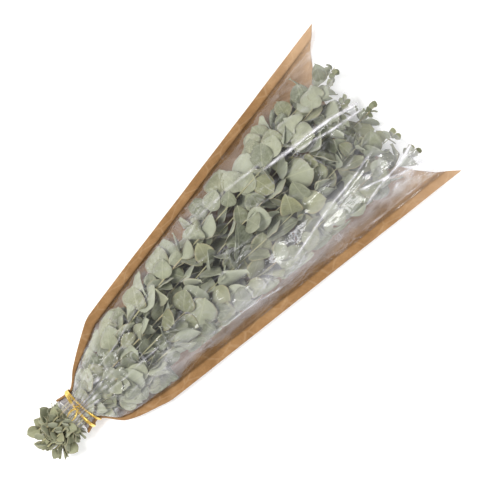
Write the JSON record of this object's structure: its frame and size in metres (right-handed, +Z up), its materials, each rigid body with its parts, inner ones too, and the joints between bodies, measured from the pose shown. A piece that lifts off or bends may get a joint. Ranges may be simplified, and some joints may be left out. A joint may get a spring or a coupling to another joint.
{
  "type": "bunch of dried eucalyptus in a florist's sleeve",
  "caption": "Dried round-leaved eucalyptus sprigs lying in a fan-shaped sleeve with a kraft paper back and a clear film front, gathered near the cut ends with a gold ribbon.",
  "frame": {"origin": "middle of the bounding box's underside, on the flat back of the paper", "axes": "+X along the bunch from the cut ends to the tips and the sleeve's open mouth, +Y to the left of that, +Z up out of the clear film; the bunch lies on its paper back"},
  "size_m": [0.6994, 0.3, 0.0758],
  "materials": {
    "kraft_paper": "brown kraft paper, matt, lightly crumpled",
    "clear_film": "thin clear film, glossy, with creases",
    "gold_ribbon": "shiny gold metallised curling ribbon",
    "dried_sprig": "dried leaf and twig, matt, grey-green with a waxy bloom"
  },
  "bodies": {
    "root": {"kraft_paper_back": "kraft_paper", "clear_film_front": "clear_film", "tie_ribbon": "gold_ribbon", "tie_knot": "gold_ribbon", "tie_tail_left": "gold_ribbon", "tie_tail_right": "gold_ribbon", "sprig_01": "dried_sprig", "sprig_02": "dried_sprig", "sprig_03": "dried_sprig", "sprig_04": "dried_sprig", "sprig_05": "dried_sprig", "sprig_06": "dried_sprig", "sprig_07": "dried_sprig", "sprig_08": "dried_sprig", "sprig_09": "dried_sprig", "sprig_10": "dried_sprig", "sprig_11": "dried_sprig", "sprig_12": "dried_sprig"}
  },
  "joints": []
}
